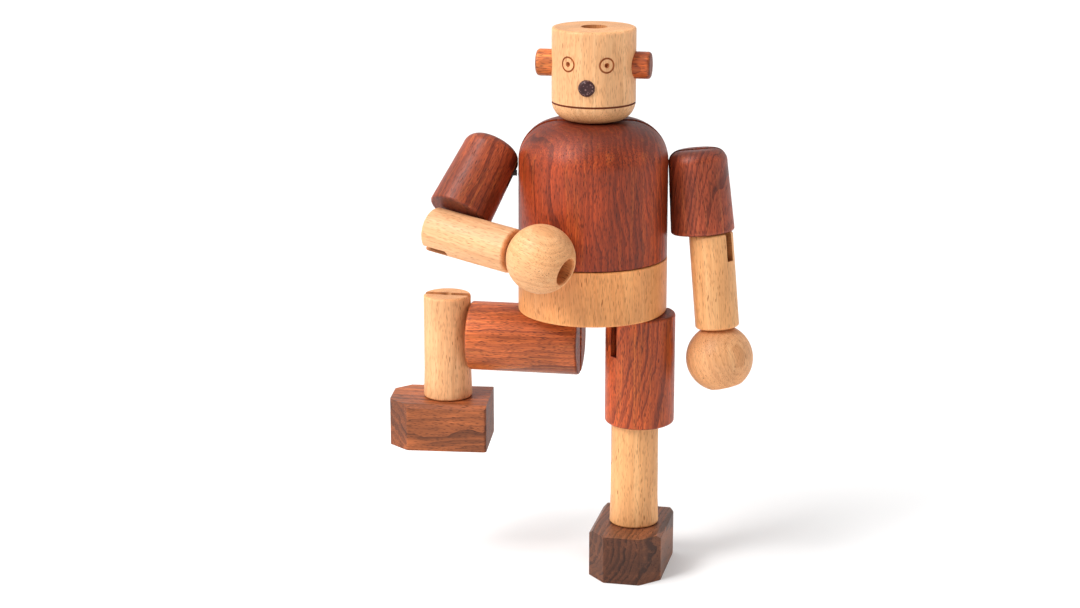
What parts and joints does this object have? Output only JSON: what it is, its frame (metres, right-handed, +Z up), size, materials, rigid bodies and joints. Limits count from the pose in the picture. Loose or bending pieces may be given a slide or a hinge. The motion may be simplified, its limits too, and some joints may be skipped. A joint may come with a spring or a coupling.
{
  "type": "jointed wooden toy figure",
  "caption": "Wooden toy figure of turned limbs, ball hands and block feet strung on elastic, standing on one leg with the other thigh level and one arm folded.",
  "frame": {"origin": "on the floor, under the middle of the figure's bounding box in this pose", "axes": "+Z up; the torso's front faces -Y; the figure's own left is +X, where its straight arm and standing leg are"},
  "size_m": [0.1574, 0.0872, 0.238],
  "materials": {
    "beech": "pale beech, sanded and oiled to a satin",
    "red_wood": "red-brown hardwood with open pores, oiled to a satin",
    "ear_wood": "orange-brown hardwood, oiled to a satin",
    "walnut": "dark walnut, oiled to a satin",
    "dark_wood": "near-black hardwood, polished",
    "elastic": "braided covering over rubber, black"
  },
  "bodies": {
    "torso": {"torso": "red_wood", "torso_arm_cord": "elastic", "torso_leg_cord": "elastic"},
    "pelvis": {"pelvis": "beech", "left_pelvis_cord": "elastic", "right_pelvis_cord": "elastic"},
    "neck": {"neck_cord": "elastic"},
    "head": {"head": "beech", "head_knot": "elastic", "left_ear": "ear_wood", "right_ear": "ear_wood", "nose": "dark_wood"},
    "left_shoulder_cord": {"left_shoulder_cord": "elastic"},
    "left_upper_arm": {"left_upper_arm": "red_wood"},
    "left_elbow_swivel": {"left_upper_arm_cord": "elastic"},
    "left_elbow_cord": {"left_elbow_cord": "elastic"},
    "left_forearm": {"left_forearm": "beech"},
    "left_wrist": {"left_forearm_cord": "elastic"},
    "left_hand": {"left_hand": "beech", "left_hand_knot": "elastic"},
    "right_shoulder_cord": {"right_shoulder_cord": "elastic"},
    "right_upper_arm": {"right_upper_arm": "red_wood"},
    "right_elbow_swivel": {"right_upper_arm_cord": "elastic"},
    "right_elbow_cord": {"right_elbow_cord": "elastic"},
    "right_forearm": {"right_forearm": "beech"},
    "right_wrist": {"right_forearm_cord": "elastic"},
    "right_hand": {"right_hand": "beech", "right_hand_knot": "elastic"},
    "left_hip_swivel": {"left_hip_cord": "elastic"},
    "left_hip_cord": {"left_hip_bend_cord": "elastic"},
    "left_thigh": {"left_thigh": "red_wood"},
    "left_knee_swivel": {"left_thigh_cord": "elastic"},
    "left_knee_cord": {"left_knee_cord": "elastic"},
    "left_shin": {"left_shin": "beech", "left_shin_cord": "elastic"},
    "left_foot": {"left_foot": "walnut", "left_foot_knot": "elastic"},
    "right_hip_swivel": {"right_hip_cord": "elastic"},
    "right_hip_cord": {"right_hip_bend_cord": "elastic"},
    "right_thigh": {"right_thigh": "red_wood"},
    "right_knee_swivel": {"right_thigh_cord": "elastic"},
    "right_knee_cord": {"right_knee_cord": "elastic"},
    "right_shin": {"right_shin": "beech", "right_shin_cord": "elastic"},
    "right_foot": {"right_foot": "walnut", "right_foot_knot": "elastic"}
  },
  "joints": [
    {"name": "waist_turn", "type": "hinge", "parent": "torso", "child": "pelvis", "pos_m": [0.00978, 0.01173, 0.1401], "axis": [0, 0, 1], "range_deg": [-60, 60]},
    {"name": "head_turn", "type": "hinge", "parent": "torso", "child": "neck", "pos_m": [0.00978, 0.01173, 0.1985], "axis": [0, 0, 1], "continuous": true},
    {"name": "head_nod", "type": "hinge", "parent": "neck", "child": "head", "pos_m": [0.00798, 0.00265, 0.20715], "axis": [0.981, -0.1942, 0], "range_deg": [0, 20], "deforming": ["neck_cord", "head_knot"]},
    {"name": "left_shoulder_swing", "type": "hinge", "parent": "torso", "child": "left_shoulder_cord", "pos_m": [0.04158, 0.01173, 0.1714], "axis": [-1, 0, 0], "range_deg": [-60, 170]},
    {"name": "left_shoulder_raise", "type": "hinge", "parent": "left_shoulder_cord", "child": "left_upper_arm", "pos_m": [0.04688, 0.0124, 0.17994], "axis": [0, -0.9969, 0.0785], "range_deg": [-2, 70], "deforming": ["left_shoulder_cord"]},
    {"name": "left_elbow_swivel", "type": "hinge", "parent": "left_upper_arm", "child": "left_elbow_swivel", "pos_m": [0.05663, 0.01008, 0.15044], "axis": [0.0819, -0.0782, -0.9936], "range_deg": [-60, 60]},
    {"name": "left_elbow_slide", "type": "slide", "parent": "left_elbow_swivel", "child": "left_elbow_cord", "axis": [0.7617, -0.638, 0.113], "range_m": [-0.0198, 0.00001]},
    {"name": "left_elbow_bend", "type": "hinge", "parent": "left_elbow_cord", "child": "left_forearm", "pos_m": [0.06619, 0.00206, 0.15049], "axis": [-0.6427, -0.7661, 0.0073], "range_deg": [0, 90], "deforming": ["left_elbow_cord"]},
    {"name": "left_wrist_turn", "type": "hinge", "parent": "left_forearm", "child": "left_wrist", "pos_m": [0.06431, 0.00313, 0.09661], "axis": [0.0819, -0.0782, -0.9936], "range_deg": [-90, 90]},
    {"name": "left_wrist_tilt", "type": "hinge", "parent": "left_wrist", "child": "left_hand", "pos_m": [0.06431, 0.00313, 0.09661], "axis": [-0.4982, -0.8667, 0.0271], "range_deg": [-20, 8]},
    {"name": "right_shoulder_swing", "type": "hinge", "parent": "torso", "child": "right_shoulder_cord", "pos_m": [-0.02202, 0.01173, 0.1758], "axis": [-1, 0, 0], "range_deg": [0, 85]},
    {"name": "right_shoulder_raise", "type": "hinge", "parent": "right_shoulder_cord", "child": "right_upper_arm", "pos_m": [-0.02732, 0.01469, 0.18003], "axis": [0, 0.8192, -0.5736], "range_deg": [0, 45], "deforming": ["right_shoulder_cord"]},
    {"name": "right_elbow_swivel", "type": "hinge", "parent": "right_upper_arm", "child": "right_elbow_swivel", "pos_m": [-0.04696, 0.00081, 0.1602], "axis": [-0.4305, -0.5177, -0.7394], "range_deg": [0, 150]},
    {"name": "right_elbow_slide", "type": "slide", "parent": "right_elbow_swivel", "child": "right_elbow_cord", "axis": [0.8337, -0.5419, -0.106], "range_m": [-0.00001, 0.01551]},
    {"name": "right_elbow_bend", "type": "hinge", "parent": "right_elbow_cord", "child": "right_forearm", "pos_m": [-0.05337, 0.0039, 0.15994], "axis": [-0.3458, -0.6621, 0.6649], "range_deg": [-90, 0], "deforming": ["right_elbow_cord"]},
    {"name": "right_wrist_turn", "type": "hinge", "parent": "right_forearm", "child": "right_wrist", "pos_m": [-0.01247, -0.02923, 0.14823], "axis": [0.8337, -0.5419, -0.106], "range_deg": [-90, 90]},
    {"name": "right_wrist_tilt", "type": "hinge", "parent": "right_wrist", "child": "right_hand", "pos_m": [-0.01247, -0.02923, 0.14823], "axis": [0.545, 0.8384, 0.0002], "range_deg": [-22, 8]},
    {"name": "left_hip_swivel", "type": "hinge", "parent": "pelvis", "child": "left_hip_swivel", "pos_m": [0.0303, 0.00623, 0.1162], "axis": [0, 0, -1], "range_deg": [-60, 60]},
    {"name": "left_hip_slide", "type": "slide", "parent": "left_hip_swivel", "child": "left_hip_cord", "axis": [0.788, 0.6157, 0], "range_m": [-0.01455, 0.00001]},
    {"name": "left_hip_bend", "type": "hinge", "parent": "left_hip_cord", "child": "left_thigh", "pos_m": [0.04118, 0.01473, 0.11485], "axis": [0.6157, -0.788, 0], "range_deg": [0, 45], "deforming": ["left_hip_bend_cord"]},
    {"name": "left_knee_swivel", "type": "hinge", "parent": "left_thigh", "child": "left_knee_swivel", "pos_m": [0.0303, 0.00623, 0.06735], "axis": [0, 0, -1], "range_deg": [-90, 90]},
    {"name": "left_knee_slide", "type": "slide", "parent": "left_knee_swivel", "child": "left_knee_cord", "axis": [1, 0, 0], "range_m": [-0.0251, 0.00001]},
    {"name": "left_knee_bend", "type": "hinge", "parent": "left_knee_cord", "child": "left_shin", "pos_m": [0.0377, 0.00623, 0.0662], "axis": [0, -1, 0], "range_deg": [0, 90], "deforming": ["left_knee_cord"]},
    {"name": "left_ankle_turn", "type": "hinge", "parent": "left_shin", "child": "left_foot", "pos_m": [0.0275, 0.00803, 0.0211], "axis": [0, 0, -1], "range_deg": [-90, 90]},
    {"name": "right_hip_swivel", "type": "hinge", "parent": "pelvis", "child": "right_hip_swivel", "pos_m": [-0.01075, 0.01723, 0.1162], "axis": [0, 0, -1], "range_deg": [-60, 90]},
    {"name": "right_hip_slide", "type": "slide", "parent": "right_hip_swivel", "child": "right_hip_cord", "axis": [-0.9848, 0.1736, 0], "range_m": [-0.00001, 0.0097]},
    {"name": "right_hip_bend", "type": "hinge", "parent": "right_hip_cord", "child": "right_thigh", "pos_m": [0.00373, 0.01468, 0.11485], "axis": [0.1736, 0.9848, 0], "range_deg": [-30, 0], "deforming": ["right_hip_bend_cord"]},
    {"name": "right_knee_swivel", "type": "hinge", "parent": "right_thigh", "child": "right_knee_swivel", "pos_m": [-0.04305, 0.02292, 0.10105], "axis": [-0.9848, 0.1736, 0], "range_deg": [-90, 90]},
    {"name": "right_knee_slide", "type": "slide", "parent": "right_knee_swivel", "child": "right_knee_cord", "axis": [0, 0, -1], "range_m": [-0.00001, 0.02704]},
    {"name": "right_knee_bend", "type": "hinge", "parent": "right_knee_cord", "child": "right_shin", "pos_m": [-0.04418, 0.02312, 0.11825], "axis": [-0.1736, -0.9848, 0], "range_deg": [-90, 0], "deforming": ["right_knee_cord"]},
    {"name": "right_ankle_turn", "type": "hinge", "parent": "right_shin", "child": "right_foot", "pos_m": [-0.05334, 0.02474, 0.07315], "axis": [0, 0, -1], "range_deg": [-90, 90]}
  ],
  "couplings": [
    {"joint": "left_elbow_slide", "follows": "left_elbow_bend", "m_per_rad": -0.01235},
    {"joint": "right_elbow_slide", "follows": "right_elbow_bend", "m_per_rad": -0.0096766},
    {"joint": "left_hip_slide", "follows": "left_hip_bend", "m_per_rad": -0.018144},
    {"joint": "left_knee_slide", "follows": "left_knee_bend", "m_per_rad": -0.015661},
    {"joint": "right_hip_slide", "follows": "right_hip_bend", "m_per_rad": -0.018144},
    {"joint": "right_knee_slide", "follows": "right_knee_bend", "m_per_rad": -0.01687}
  ]
}
